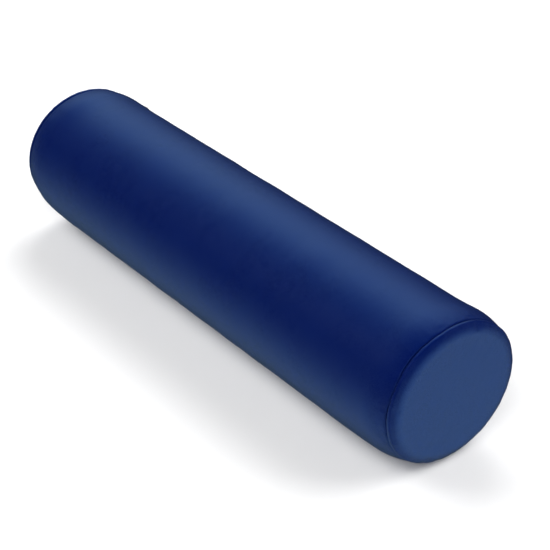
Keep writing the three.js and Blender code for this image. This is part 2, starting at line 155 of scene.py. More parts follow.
def waves(angle, lows, highs, strength, seed):
    """Irregular ripples round the roll, as a sum of whole-number waves."""
    random = np.random.default_rng(seed)
    total = np.zeros_like(angle, dtype=float)
    counts = np.arange(lows, highs)
    for k in counts:
        total += random.normal() * np.cos(k * angle + random.uniform(0, TAU))
    return strength * total / math.sqrt(len(counts))


def smoothstep(low, high, value):
    t = np.clip((value - low) / (high - low), 0, 1)
    return t * t * (3 - 2 * t)


def bell(distance, width):
    """1 at no distance, falling smoothly to about a third one width away."""
    return np.exp(-((distance / width) ** 2))


def bump_tube(w, angle):
    """How far the tube's vinyl stands proud: slow unevenness of the filling under it."""
    count, height = 14, 0.055
    total = np.zeros(np.broadcast(w, angle).shape)
    random = np.random.default_rng(7)
    for _ in range(count):
        along, round_ = random.uniform(40, 160), random.integers(1, 6)
        phase, turn = random.uniform(0, TAU, 2)
        total += np.cos(TAU * w / along + phase) * np.cos(round_ * angle + turn)
    return height * total


def pucker(distance, angle, seed):
    """Small gathers that the end seam's stitches pull into the vinyl, dying away from the seam."""
    fine = waves(angle, 34, 72, 0.30, seed)
    coarse = waves(angle, 12, 30, 0.34, seed + 1)
    near = np.exp(-((distance / 7.0) ** 1.3)) * (1 - bell(distance, 1.8))
    far = np.exp(-((distance / 20.0) ** 1.4)) * (1 - bell(distance, 3.5))
    return near * fine + far * coarse


def seam_drift(angle, seed):
    """The seam line wanders a little along the roll."""
    return waves(angle, 2, 9, 0.45, seed) + waves(angle, 14, 40, 0.16, seed + 5)


# ---- mesh helpers ----


def add_object(name, data):
    obj = bpy.data.objects.new(name, data)
    bpy.context.scene.collection.objects.link(obj)
    return obj


def make_object(name, verts, faces, material=None):
    """A smooth mesh object from an array of points in millimetres."""
    points = np.asarray(verts).reshape(-1, 3) * MM
    mesh = bpy.data.meshes.new(name)
    mesh.from_pydata([tuple(v) for v in points], [], [tuple(f) for f in faces])
    mesh.validate()
    mesh.update()
    mesh.shade_smooth()
    if material:
        mesh.materials.append(material)
    return add_object(name, mesh)


def grid(rows, cols):
    return np.meshgrid(rows, cols, indexing="ij")


def grid_faces(rows, cols, wrap=False, first=0, flip=False):
    """The quads of a grid of points, which wrap joins into a tube."""
    r = np.arange(rows - 1)[:, None] * cols
    c = np.arange(cols if wrap else cols - 1)[None, :]
    n = (c + 1) % cols
    quad = np.stack(np.broadcast_arrays(r + c, r + n, r + cols + n, r + cols + c), -1)
    quad = quad.reshape(-1, 4) + first
    return quad[:, ::-1] if flip else quad


def capped_faces(rows, cols):
    """The faces of a row of rings that is closed at both ends."""
    last = (rows - 1) * cols
    ends = [list(range(cols))[::-1], list(range(last, last + cols))]
    return grid_faces(rows, cols, wrap=True).tolist() + ends


def evaluated_mesh(obj):
    """A new mesh of the object as its modifiers leave it."""
    depsgraph = bpy.context.evaluated_depsgraph_get()
    return bpy.data.meshes.new_from_object(obj.evaluated_get(depsgraph))


def solidify(obj, thickness):
    """Gives a sheet its thickness, behind the side that it shows."""
    modifier = obj.modifiers.new("thickness", "SOLIDIFY")
    modifier.thickness = thickness * MM
    modifier.offset = -1
    modifier.use_even_offset = False
    solid, sheet = evaluated_mesh(obj), obj.data
    obj.modifiers.clear()
    obj.data = solid
    bpy.data.meshes.remove(sheet)
    return obj


def outward(obj, mend=None):
    """Makes every face look out of its piece. mend, if any, first repairs its bmesh."""
    bm = bmesh.new()
    bm.from_mesh(obj.data)
    if mend:
        mend(bm)
    bmesh.ops.recalc_face_normals(bm, faces=bm.faces)
    bm.to_mesh(obj.data)
    bm.free()
    return obj


def look_towards(obj, point):
    """Turns the mesh inside out if its face nearest to point looks away from it."""
    mesh = obj.data
    target = Vector(point) * MM
    face = min(mesh.polygons, key=lambda p: (p.center - target).length)
    if face.normal.dot(target - face.center) < 0:
        mesh.flip_normals()
    return obj


def finish_piece(piece, body="bolster", node=None):
    """Makes a piece stand for a CAD node, by default the one in its name, on that body."""
    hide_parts(node or piece.name.rpartition("_")[0])
    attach(piece, body)
    return piece


class Mesh:
    """Collects many small parts into one mesh."""

    def __init__(self):
        self.verts, self.faces, self.count = [], [], 0

    def add(self, verts, faces):
        verts = np.asarray(verts, float).reshape(-1, 3)
        self.verts.append(verts)
        self.faces.extend([tuple(int(i) + self.count for i in f) for f in faces])
        self.count += len(verts)

    def build(self, name, material):
        return make_object(name, np.concatenate(self.verts), self.faces, material)


def tube(points, radius, sides=6):
    """Verts and faces of a closed tube along points; radius is one number or one for each point."""
    points = np.asarray(points, float)
    radius = np.broadcast_to(radius, len(points))
    along = np.gradient(points, axis=0)
    along /= np.linalg.norm(along, axis=1)[:, None]
    up = np.array([0.0, 0.0, 1.0]) if abs(along[0][2]) < 0.9 else np.array([1.0, 0.0, 0.0])
    u = np.cross(up, along[0])
    turn = np.arange(sides)[:, None] * TAU / sides
    rings = []
    for point, r, t in zip(points, radius, along):
        u = u - t * (u @ t)
        u /= np.linalg.norm(u)
        rings.append(point + r * (np.cos(turn) * u + np.sin(turn) * np.cross(t, u)))
    return np.concatenate(rings), capped_faces(len(points), sides)


def squarish(value, power):
    """A sine or cosine pushed outwards, which turns a circle into a rounded square."""
    return np.sign(value) * np.abs(value) ** power


# ---- the gathers at the end seams ----

CLOTH_STEP = 2.2
CLOTH_ROWS = CLOTH_STEP * np.arange(-20, 14)  # distances from the seam, towards the end
CLOTH_COLUMNS = 216
CLOTH_FRAMES = 20
MOST_OUT, MOST_IN = 0.8, 0.45  # how far a gather may move the vinyl
GATHER_DEPTH = 2.0  # how deep under the outside the gathers reach


def cloth_start(end, seed):
    """The vinyl on both sides of an end seam, as the grid that the simulation starts from."""
    angle = np.arange(CLOTH_COLUMNS) * TAU / CLOTH_COLUMNS
    offset, angle = grid(CLOTH_ROWS, angle)
    valley = bell(offset, 1.5)
    unevenness = waves(angle, 7, 30, 0.15, seed) * bell(offset, 14.0)
    return place(end * (W_SEAM + offset), valley - unevenness, angle)


def weight_group(obj, name, weights):
    """Adds a vertex group with one weight for each point."""
    group = obj.vertex_groups.new(name=name)
    for value in np.unique(weights):
        if value > 0:
            group.add([int(i) for i in np.flatnonzero(weights == value)], float(value), "REPLACE")


def simulate_gathers(end, seed):
    """Lets the vinyl, cut a little longer than the seam it is sewn to, swell and buckle over the filling."""
    start = cloth_start(end, seed)
    rows, cols = start.shape[:2]
    faces = grid_faces(rows, cols, wrap=True, flip=end > 0)
    cloth = look_towards(make_object("gathers", start, faces), ABOVE)
    held = np.zeros((rows, cols))
    held[[0, 1, -2, -1]] = 1
    held[CLOTH_ROWS == 0] = 1
    weight_group(cloth, "held", held.ravel())
    snug = np.round(1 - bell(CLOTH_ROWS, 9.0), 2)
    weight_group(cloth, "snug", np.repeat(snug, cols))
    modifier = cloth.modifiers.new("cloth", "CLOTH")
    modifier.point_cache.frame_end = CLOTH_FRAMES
    settings = modifier.settings
    settings.quality = 6
    settings.mass = 0.02
    settings.tension_stiffness = settings.compression_stiffness = 20
    settings.shear_stiffness = 8
    settings.bending_stiffness = 100
    settings.vertex_group_mass = "held"
    settings.vertex_group_shrink = "snug"
    settings.shrink_min, settings.shrink_max = -0.01, 0.0
    settings.use_pressure = True
    settings.uniform_pressure_force = 300
    settings.effector_weights.gravity = 0
    for step in range(1, CLOTH_FRAMES + 1):
        bpy.context.scene.frame_set(step)
    mesh = evaluated_mesh(cloth)
    moved = np.empty(len(mesh.vertices) * 3)
    mesh.vertices.foreach_get("co", moved)
    bpy.data.meshes.remove(mesh)
    bpy.context.scene.frame_set(1)
    bpy.data.objects.remove(cloth)
    return gathers_only(moved.reshape(start.shape) / MM - start, start)


def gathers_only(moved, start):
    """The gathers without the swelling, as the cover already has its filled size. Capped both ways."""
    around = np.roll(start, -1, 1) - np.roll(start, 1, 1)
    along = np.gradient(start, axis=0)
    out = np.cross(around, along)
    out /= np.linalg.norm(out, axis=-1, keepdims=True)
    middle = start.mean((0, 1))
    out *= np.sign(((start - middle) * out).sum(-1, keepdims=True))
    rise = (moved * out).sum(-1, keepdims=True)
    rise -= rise.mean(1, keepdims=True)
    most = np.where(rise > 0, MOST_OUT, MOST_IN)
    return out * (most * np.tanh(rise / most))


def gathers_at(w, angle):
    """How far the simulation moved the vinyl at these places, in millimetres."""
    total = np.zeros(np.broadcast(w, angle).shape + (3,))
    for end, field in GATHERS.items():
        row = np.clip((end * w - W_SEAM - CLOTH_ROWS[0]) / CLOTH_STEP, 0, len(CLOTH_ROWS) - 1.001)
        col = (angle % TAU) / TAU * CLOTH_COLUMNS
        i, j = row.astype(int), col.astype(int) % CLOTH_COLUMNS
        a, b = (row - i)[..., None], (col - np.floor(col))[..., None]
        n = (j + 1) % CLOTH_COLUMNS
        low = field[i, j] * (1 - b) + field[i, n] * b
        high = field[i + 1, j] * (1 - b) + field[i + 1, n] * b
        total += low * (1 - a) + high * a
    return total


def on_cover(w, depth, angle):
    """Points of the cover after the simulation. Under the outside its effect dies away."""
    w, depth, angle = np.broadcast_arrays(w, depth, angle)
    fade = np.exp(-np.maximum(depth, 0) / GATHER_DEPTH)[..., None]
    points = place(w, depth, angle) + gathers_at(w, angle) * fade
    points[..., 2] = settle(points[..., 2], np.maximum(depth, 0))
    return points


# ---- materials ----


class Nodes:
    """A small builder for a node tree."""

    def __init__(self, tree):
        self.tree = tree

    def put(self, socket, value):
        """Links a socket to another node's output, or sets it to a constant."""
        if isinstance(value, bpy.types.NodeSocket):
            self.tree.links.new(value, socket)
        else:
            socket.default_value = value

    def node(self, kind, inputs=(), **props):
        made = self.tree.nodes.new(kind)
        for key, value in props.items():
            setattr(made, key, value)
        for key, value in dict(inputs).items():
            self.put(made.inputs[key], value)
        return made

    def math(self, operation, a, b=0.0):
        return self.node("ShaderNodeMath", {0: a, 1: b}, operation=operation).outputs[0]


class Material(Nodes):
    """One material: its shader, and short calls for the patterns that feed it."""

    def __init__(self, name, stretch=(1, 1, 1)):
        self.material = bpy.data.materials.new(name)
        self.material.use_nodes = True
        super().__init__(self.material.node_tree)
        self.tree.nodes.clear()
        self.shader = self.node("ShaderNodeBsdfPrincipled")
        self.node("ShaderNodeOutputMaterial", {"Surface": self.shader.outputs[0]})
        self.where = self.position(stretch)

    def set(self, **sockets):
        """Feeds the shader's sockets, named with _ for each space."""
        for key, value in sockets.items():
            self.put(self.shader.inputs[key.replace("_", " ")], value)

    def position(self, stretch):
        """Object coordinates in millimetres, times stretch."""
        where = self.node("ShaderNodeTexCoord").outputs["Object"]
        inputs = {"Vector": where, "Scale": [s / MM for s in stretch]}
        return self.node("ShaderNodeMapping", inputs).outputs[0]

    def noise(self, scale, detail=2.0, rough=0.5, where=None):
        inputs = {"Vector": where or self.where, "Scale": scale, "Detail": detail, "Roughness": rough}
        return self.node("ShaderNodeTexNoise", inputs).outputs["Fac"]

    def cells(self, scale, **props):
        """The distance from the middle of each irregular cell."""
        inputs = {"Vector": self.where, "Scale": scale}
        return self.node("ShaderNodeTexVoronoi", inputs, **props).outputs["Distance"]

    def remap(self, value, from_low, from_high, to_low, to_high):
        ends = {"From Min": from_low, "From Max": from_high, "To Min": to_low, "To Max": to_high}
        return self.node("ShaderNodeMapRange", {"Value": value, **ends}).outputs[0]

    def mix(self, share, a, b):
        """A colour between a and b. The node's colour sockets are its numbers 0, 6 and 7."""
        return self.node("ShaderNodeMix", {0: share, 6: a, 7: b}, data_type="RGBA").outputs[2]

    def bump(self, height, distance, strength=1.0):
        inputs = {"Height": height, "Distance": distance * MM, "Strength": strength}
        return self.node("ShaderNodeBump", inputs).outputs[0]


def rgb(r, g, b):
    return (r, g, b, 1.0)


VINYL_LIGHT = rgb(0.0005, 0.006, 0.074)
VINYL_DARK = rgb(0.0005, 0.005, 0.066)
VINYL_SHADE = rgb(0.0004, 0.004, 0.052)  # in the grain's hollows
VINYL_SHEEN = rgb(0.4, 0.65, 1.0)


def vinyl_material():
    """Wipe-clean upholstery vinyl: an even navy, a fine calendered grain and a satin gloss."""
    m = Material("navy_vinyl")
    cloud = m.noise(0.018, 3.0, 0.55)
    cells = m.cells(1.15, feature="SMOOTH_F1")
    fine = m.noise(2.6, 3.0, 0.6)
    grain = m.math("ADD", cells, m.math("MULTIPLY", fine, 0.6))
    colour = m.mix(m.remap(cloud, 0.3, 0.7, 0, 1), VINYL_DARK, VINYL_LIGHT)
    shade = m.mix(m.remap(grain, 0.35, 1.1, 0, 0.35), colour, VINYL_SHADE)
    rough = m.math("ADD", m.remap(cloud, 0.3, 0.7, 0.27, 0.30), m.remap(fine, 0.3, 0.7, -0.02, 0.02))
    m.set(Base_Color=shade, Roughness=rough, Normal=m.bump(grain, 0.045, 0.35))
    m.set(Specular_IOR_Level=0.75, Specular_Tint=VINYL_SHEEN)
    return m.material


def thread_material():
    """Twisted polyester sewing thread."""
    m = Material("navy_thread")
    twist = {"Vector": m.where, "Scale": 1.3, "Distortion": 1.5}
    strands = m.node("ShaderNodeTexWave", twist, bands_direction="DIAGONAL").outputs["Fac"]
    tint = m.mix(m.noise(0.9), rgb(0.010, 0.024, 0.100), rgb(0.018, 0.040, 0.150))
    m.set(Base_Color=tint, Roughness=m.remap(strands, 0, 1, 0.48, 0.62))
    m.set(Normal=m.bump(strands, 0.06, 0.6), Sheen_Weight=0.15)
    return m.material


def tape_material():
    """Woven zip tape: a herringbone twill."""
    m = Material("navy_tape")
    axes = m.node("ShaderNodeSeparateXYZ", {"Vector": m.where})
    fold = m.math("PINGPONG", axes.outputs["Z"], 1.6)
    slope = m.math("ADD", axes.outputs["X"], m.math("MULTIPLY", fold, 1.1))
    ribs = m.math("SINE", m.math("MULTIPLY", slope, 9.0))
    warp = m.math("SINE", m.math("MULTIPLY", axes.outputs["Z"], 14.0))
    weave = m.math("ADD", ribs, m.math("MULTIPLY", warp, 0.6))
    tint = m.mix(m.remap(weave, -1.4, 1.4, 0, 1), rgb(0.004, 0.010, 0.045), rgb(0.014, 0.030, 0.110))
    fuzz = m.noise(3.5)
    m.set(Base_Color=tint, Roughness=m.remap(fuzz, 0.3, 0.7, 0.78, 0.92))
    m.set(Normal=m.bump(weave, 0.05, 0.8), Sheen_Weight=0.3)
    return m.material


def coil_material():
    """Extruded nylon monofilament."""
    m = Material("navy_coil")
    drift = m.noise(0.25)
    fine = m.noise(6.0)
    m.set(Base_Color=m.mix(drift, rgb(0.008, 0.020, 0.090), rgb(0.014, 0.032, 0.130)))
    m.set(Roughness=m.remap(fine, 0.3, 0.7, 0.30, 0.42), Normal=m.bump(fine, 0.01, 0.5))
    return m.material


def enamel_material():
    """Painted zinc die casting: an orange-peel gloss, worn thin on high spots."""
    m = Material("slider_enamel")
    peel = m.noise(1.1, 3.0, 0.5)
    wear = m.noise(0.55, 4.0, 0.7)
    worn = m.remap(wear, 0.66, 0.78, 0.0, 0.55)
    m.set(Base_Color=m.mix(worn, rgb(0.010, 0.020, 0.070), rgb(0.060, 0.075, 0.120)))
    m.set(Roughness=m.remap(peel, 0.3, 0.7, 0.26, 0.38), Normal=m.bump(peel, 0.03, 0.5))
    m.set(Coat_Weight=0.3, Coat_Roughness=0.2)
    return m.material


def metal_material():
    """Stamped aluminium of the zip's stops, lightly brushed."""
    m = Material("stop_metal", (0.3, 3.0, 3.0))
    brushed = m.noise(2.0, 3.0)
    m.set(Base_Color=m.mix(brushed, rgb(0.50, 0.50, 0.52), rgb(0.66, 0.66, 0.68)), Metallic=1.0)
    m.set(Roughness=m.remap(brushed, 0.3, 0.7, 0.30, 0.46), Normal=m.bump(brushed, 0.015, 0.5))
    return m.material


def foam_material():
    """Cut polyurethane foam: open cells and a warm cream colour."""
    m = Material("cream_foam")
    pores = m.math("ADD", m.cells(0.9), m.math("MULTIPLY", m.cells(2.1), 0.5))
    age = m.noise(0.02, 3.0)
    tint = m.mix(age, rgb(0.74, 0.66, 0.45), rgb(0.82, 0.76, 0.57))
    # The open cells' hollows are mixed towards a dark brown: painted shade in the pores.
    m.set(Base_Color=m.mix(m.remap(pores, 0.1, 0.8, 0.6, 0), tint, rgb(0.45, 0.37, 0.20)))
    m.set(Roughness=m.remap(pores, 0, 1, 0.98, 0.85), Normal=m.bump(pores, 0.35, 0.9))
    return m.material


def batting_material():
    """Lofty polyester fibre."""
    m = Material("white_batting", (0.35, 1, 1))
    strands = m.noise(0.9, 6.0, 0.75)
    clumps = m.noise(0.09, 3.0, where=m.position((1, 1, 1)))
    tint = m.mix(strands, rgb(0.62, 0.62, 0.60), rgb(0.90, 0.90, 0.88))
    m.set(Base_Color=m.mix(m.remap(clumps, 0.3, 0.7, 0, 0.2), tint, rgb(0.70, 0.70, 0.67)))
    m.set(Roughness=m.remap(strands, 0.3, 0.7, 1.0, 0.9), Normal=m.bump(strands, 0.8, 0.8), Sheen_Weight=0.4)
    return m.material


def label_material():
    """A plain woven satin ribbon."""
    m = Material("label_ribbon")
    axes = m.node("ShaderNodeSeparateXYZ", {"Vector": m.where})
    weft = m.math("SINE", m.math("MULTIPLY", axes.outputs["X"], 16.0))
    warp = m.math("SINE", m.math("MULTIPLY", axes.outputs["Z"], 20.0))
    weave = m.math("ADD", weft, m.math("MULTIPLY", warp, 0.7))
    stain = m.noise(0.12, 3.0)
    tint = m.mix(m.remap(weave, -1.5, 1.5, 0, 1), rgb(0.66, 0.65, 0.61), rgb(0.80, 0.79, 0.75))
    m.set(Base_Color=m.mix(m.remap(stain, 0.4, 0.7, 0, 0.15), tint, rgb(0.58, 0.56, 0.50)))
    m.set(Roughness=m.remap(weave, -1.5, 1.5, 0.75, 0.55), Normal=m.bump(weave, 0.03, 0.7), Sheen_Weight=0.25)
    return m.material


NAVY_VINYL = vinyl_material()
NAVY_THREAD = thread_material()
NAVY_TAPE = tape_material()
NAVY_COIL = coil_material()
ENAMEL = enamel_material()
STOP_METAL = metal_material()
CREAM_FOAM = foam_material()
BATTING = batting_material()
RIBBON = label_material()


# ---- the cover ----


def spread_steps(*runs):
    """Numbers from runs of (start, end, how many steps), without repeats."""
    values = [np.linspace(a, b, n + 1)[:-1] for a, b, n in runs]
    return np.concatenate([*values, [runs[-1][1]]])


GAP_AT_SEAM = 0.15
ROLL = 1.5  # radius at which the vinyl rolls into a seam


def seam_rows(outside, edge, side, first, corner, deep):
    """(w, depth) of rows on the outside, then a quarter turn into the seam and the allowance behind the end.

    side is 1 for the end panel and -1 for the sleeve. The allowance starts at (edge + first, corner).
    """
    turn = np.linspace(0, math.pi / 2, 8)[1:]
    rolled_w = edge + side * ROLL * (1 - np.sin(turn))
    rolled_depth = ROLL * (1 - np.cos(turn))
    allowance_w = edge + np.array([first, 1.2, 3, 5.5, ALLOWANCE])
    w = np.concatenate([outside, rolled_w, allowance_w])
    depth = np.concatenate([np.zeros(len(outside)), rolled_depth, [corner], np.full(4, deep)])
    return w, depth


def sleeve_rows():
    """(w, depth) from the middle of the tube to the end of the allowance under the near end panel."""
    edge = W_SEAM - GAP_AT_SEAM
    outside = spread_steps((0, 240, 34), (240, EDGE_X, 8), (EDGE_X, 284, 8), (284, edge - ROLL, 16))
    return seam_rows(outside, edge, -1, 0.25, 3.05, 3.2)


def sleeve_columns():
    """Angles round the tube, closest together at the zip, whose folded edges they meet."""
    heights = np.array([0, 2.4, 4.8, EDGE_Z, 8.2, 8.9, 9.5, 10.1, 10.8, 12, 13.5, 15, 16.5, 18, 19.5, 21, 23])
    near = angle_at(heights)
    rest = np.linspace(near[-1], TAU - near[-1], 180)[1:-1]
    return np.concatenate([near, rest, TAU - near[:0:-1]])


def sleeve_proud(w, angle):
    """All that raises or dents the sleeve's outside."""
    distance = W_SEAM - np.abs(w)
    past = np.abs(distance)
    puckers = 0.5 * np.where(w > 0, pucker(past, angle, 11), pucker(past, angle, 23))
    quiet = 1 - 0.85 * bell(distance, 10.0)
    on_zip_side = np.cos(angle) > 0
    reach = np.abs(height_at(angle))
    hem = 0.55 * (1 - smoothstep(16, 22, reach)) * (1 - smoothstep(SLOT_X, SLOT_X + 6, np.abs(w)))
    stitch_line = -0.28 * bell(reach - STITCH_Z, 0.9)
    calm = 1 - bell(np.minimum(reach, 40), 22) * on_zip_side
    near_zip = on_zip_side & (np.abs(w) < SLOT_X + 6)
    return (bump_tube(w, angle) * quiet + puckers) * calm + np.where(near_zip, hem + stitch_line, 0)


def seam_shift(w, angle):
    """Moves the rows near a seam with the seam's own wandering."""
    near = bell(W_SEAM - np.abs(w), DRIFT_REACH)
    drift = np.where(w > 0, seam_drift(angle, SEAM_SEEDS[1]), seam_drift(angle, SEAM_SEEDS[-1]))
    return np.sign(w) * drift * near


def join_lips(bm):
    """Merges the lips' doubled points with the tube's and drops the points left inside the slot."""
    bmesh.ops.remove_doubles(bm, verts=bm.verts, dist=0.02 * MM)
    loose = [v for v in bm.verts if not v.link_faces]
    bmesh.ops.delete(bm, geom=loose, context="VERTS")


def sleeve_panel():
    half_w, half_depth = sleeve_rows()
    w = np.concatenate([-half_w[:0:-1], half_w])
    depth = np.concatenate([half_depth[:0:-1], half_depth])
    angles = sleeve_columns()
    grid_w, grid_a = grid(w, angles)
    proud = sleeve_proud(grid_w, grid_a) * np.exp(-depth / DENT_DEPTH)[:, None]
    verts = on_cover(grid_w + seam_shift(grid_w, grid_a), depth[:, None] - proud, grid_a).reshape(-1, 3)
    faces = grid_faces(len(w), len(angles), wrap=True, flip=True)
    in_slot = (np.abs(grid_w) < EDGE_X + CLOSE) & (np.abs(height_at(grid_a)) < EDGE_Z + CLOSE)
    in_slot &= np.cos(grid_a) > 0
    parts = Mesh()
    parts.add(verts, faces[~in_slot.ravel()[faces].all(1)])
    parts.add(*slot_lips(w, angles))
    sleeve = outward(parts.build("sleeve_panel_vinyl", NAVY_VINYL), join_lips)
    return solidify(look_towards(sleeve, ABOVE), VINYL)


def slot_lips(w, angles):
    """The sleeve's edge along the slot, folded down, under and back as a hem."""
    along = w[np.abs(w) < EDGE_X + CLOSE]
    signed = np.where(angles > math.pi, angles - TAU, angles)
    across = np.sort(signed[np.abs(height_at(signed)) < EDGE_Z + CLOSE])
    across = across[np.cos(across) > 0]
    low, high, end = across[0], across[-1], along[-1]
    # (w, angle, way in along w, way in round the roll) once round the slot
    loop = [(x, high, 0, -1) for x in along[1:-1]]
    loop += [(end, high, -1, -1)] + [(end, a, -1, 0) for a in across[-2:0:-1]] + [(end, low, -1, 1)]
    loop += [(x, low, 0, 1) for x in along[-2:0:-1]]
    loop += [(-end, low, 1, 1)] + [(-end, a, 1, 0) for a in across[1:-1]] + [(-end, high, 1, -1)]
    base_w, base_a, in_w, in_a = np.array(loop).T
    turn = np.linspace(0, math.pi, 9)
    reach = np.concatenate([FOLD * np.sin(turn), [-END_HEM, -HEM]])
    depth = np.concatenate([FOLD * (1 - np.cos(turn)), [2 * FOLD, 2 * FOLD]])
    rings = []
    for out, deep in zip(reach, depth):
        moved_w = base_w + in_w * max(out, -END_HEM)
        moved_a = base_a + in_a * out / (RADIUS * LOWER)
        proud = sleeve_proud(base_w, base_a) * math.exp(-deep / DENT_DEPTH)
        rings.append(on_cover(moved_w + seam_shift(base_w, base_a), deep - proud, moved_a))
    return np.concatenate(rings), grid_faces(len(rings), len(loop), wrap=True)


def end_rows():
    """(w, depth) from the end's centre out to the seam, round its rolled edge and back under."""
    edge = W_SEAM + GAP_AT_SEAM
    face = W_END - np.array([0.0, 1.5, 3, 5, 8, 12, 17, 22, 27, 32, 37, 42, 46, 50, 53, 56, 58])
    crown = spread_steps((W_FACE, W_SEAM + 9, 10), (W_SEAM + 9, edge + ROLL, 12))
    return seam_rows(np.concatenate([face, crown]), edge, 1, 0.3, 2.05, 2.3)


def end_panel(name, end):
    """A round panel: its puckers, the ridge beside the seam and a soft unevenness of its face."""
    w, depth = end_rows()
    cols = 288
    angles = np.arange(cols) * TAU / cols
    grid_w, grid_a = grid(w, angles)
    distance = np.maximum(grid_w - W_SEAM, 0)
    away_from_centre = smoothstep(0, 30, W_END - grid_w)
    puckers = 0.3 * pucker(distance, grid_a, SEAM_SEEDS[end] + 3)
    ridge = 0.5 * bell(distance - 3.6, 1.7)
    soft = 0.3 * np.cos(2 * grid_a + 1.0) * bell(distance - 26, 12.0)
    proud = ((puckers + ridge + soft) * away_from_centre) * np.exp(-depth / DENT_DEPTH)[:, None]
    drift = seam_drift(angles, SEAM_SEEDS[end]) * bell(distance, DRIFT_REACH)
    verts = on_cover(end * (grid_w + drift), depth[:, None] - proud, grid_a)
    verts = verts.reshape(-1, 3)[cols - 1 :]
    verts[0] = place(end * W_END, 0.0, 0.0)
    faces = [(0, 1 + i, 1 + (i + 1) % cols) for i in range(cols)]
    faces += grid_faces(len(w) - 1, cols, wrap=True, first=1).tolist()
    panel = outward(make_object(name, verts, faces, NAVY_VINYL))
    return solidify(look_towards(panel, (end * 500, 0, AXIS_Z)), VINYL)


GATHERS = {1: simulate_gathers(1, 61), -1: simulate_gathers(-1, 83)}
for piece in (sleeve_panel(), end_panel("near_end_panel_vinyl", 1), end_panel("far_end_panel_vinyl", -1)):
    finish_piece(piece)


# ---- threads ----

THREAD, TACK_THREAD, SEAM_THREAD = 0.26, 0.22, 0.24  # radii
ROW_END = SLOT_X + 2.2  # how far the topstitching runs from the middle
rng = np.random.default_rng(24)


def on_skin(w, angle, rise=0.0):
    """Points this far above the finished surface of the tube."""
    w, angle = np.broadcast_arrays(np.asarray(w, float), np.asarray(angle, float))
    return on_cover(w + seam_shift(w, angle), -(sleeve_proud(w, angle) + rise), angle)


def stitch(start, end, arch, radius):
    """One stitch from (w, angle) to (w, angle): a thread that comes up, lies over the vinyl and goes down."""
    middle = [(a + b) / 2 for a, b in zip(start, end)]
    out = on_skin(*middle, 1.0) - on_skin(*middle)
    start, end = on_skin(*start), on_skin(*end)
    share = np.linspace(0, 1, 5)
    hump = 1 - (2 * share - 1) ** 4
    lift = arch * hump - radius * 0.8
    points = start + (end - start) * share[:, None] + out * lift[:, None]
    return tube(points, radius * (0.72 + 0.28 * hump))


def topstitch_row(name, side):
    """A row of lockstitch beside the zip, through sleeve, hem and tape."""
    parts = Mesh()
    count, length, arch = 152, 2.95, 0.34
    angle = float(angle_at(side * STITCH_Z))
    pitch = 2 * ROW_END / count
    jitter = rng.normal(0, 0.05, (count, 2))
    for i in range(count):
        middle = -ROW_END + (i + 0.5) * pitch
        turn = angle + jitter[i] / RADIUS
        ends = (middle - length / 2, turn[0]), (middle + length / 2, turn[1])
        parts.add(*stitch(*ends, arch, THREAD))
    return parts.build(name, NAVY_THREAD)


def bar_tack(name, end):
    """Dense stitches laid side by side across an end of the zip."""
    parts = Mesh()
    heights = np.arange(-9.3, 9.31, 0.40)
    reach = rng.normal(0, 0.08, (len(heights), 2))
    for height, (inner, outer) in zip(heights, reach):
        angle = float(angle_at(height))
        ends = (end * (SLOT_X + 1.6 + inner), angle), (end * (SLOT_X + 3.4 + outer), angle)
        parts.add(*stitch(*ends, 0.42, TACK_THREAD))
    return parts.build(name, NAVY_THREAD)


def seam_thread(name, end):
    """The seam's stitches, which show between the two rolled edges."""
    parts = Mesh()
    count, half = 126, 0.55
    share = np.array([-1, -0.5, 0, 0.5, 1])
    for i in range(count):
        angle = (i + 0.5) * TAU / count
        w = end * (W_SEAM + float(seam_drift(np.array(angle), SEAM_SEEDS[end])))
        points = place(w + end * share * half, 0.95 + 0.55 * share**2, angle + 0.0035 * share)
        parts.add(*tube(points, SEAM_THREAD))
    return parts.build(name, NAVY_THREAD)


for row, side in (("upper", 1), ("lower", -1)):
    finish_piece(topstitch_row(f"zip_topstitch_{row}_thread", side))
for end_name, end in (("near", 1), ("far", -1)):
    finish_piece(bar_tack(f"{end_name}_bar_tack_thread", end))
    finish_piece(seam_thread(f"{end_name}_seam_stitches", end), node=f"{end_name}_seam_thread")


# ---- the zip ----

TAPE_X, TAPE_THICKNESS = 275.0, 0.5
COIL_X, COIL_MIDDLE_Z, COIL_MIDDLE_Y = 262.0, 1.835, -1.4  # half length, and place from the zip's middle
COIL_HALF_WIDTH, COIL_HALF_HEIGHT, COIL_WIRE, COIL_PITCH = 1.215, 0.77, 0.29, 1.25
FILLER_Z, FILLER_RADIUS = 2.04, 0.42


def zip_tape(name, side):
    """A woven tape: a cord edge at the coil, the flat that the hem is sewn to, and a selvedge."""
    x = np.linspace(-TAPE_X, TAPE_X, 221)
    height = np.array([0.3, 0.9, 1.6, 2.3, 3.0, 3.8, 4.6, 5.4, 6.4, 8, 10, 12, 13.6, 14.3, 14.7, 15.0])
    depth = 2.67 + 0.25 * smoothstep(4, 6.4, height) + 0.10 * bell(height - 14.2, 0.5)
    grid_x, grid_h = grid(x, height)
    # Past the coil's ends the two tapes' inner edges come together
    grid_h = grid_h - 0.25 * smoothstep(COIL_X - 1, COIL_X + 1, np.abs(grid_x)) * (grid_h < 0.5)
    ripple = 0.05 * np.sin(grid_x / 7.0 + 2 * np.sin(grid_x / 23.0)) * smoothstep(9, 15, grid_h)
    verts = place(grid_x, depth[None, :] + ripple, angle_at(side * grid_h))
    faces = grid_faces(len(x), len(height), flip=side > 0)
    tape = make_object(name, verts, faces, NAVY_TAPE)
    return solidify(look_towards(tape, (0, 400, AXIS_Z)), TAPE_THICKNESS)


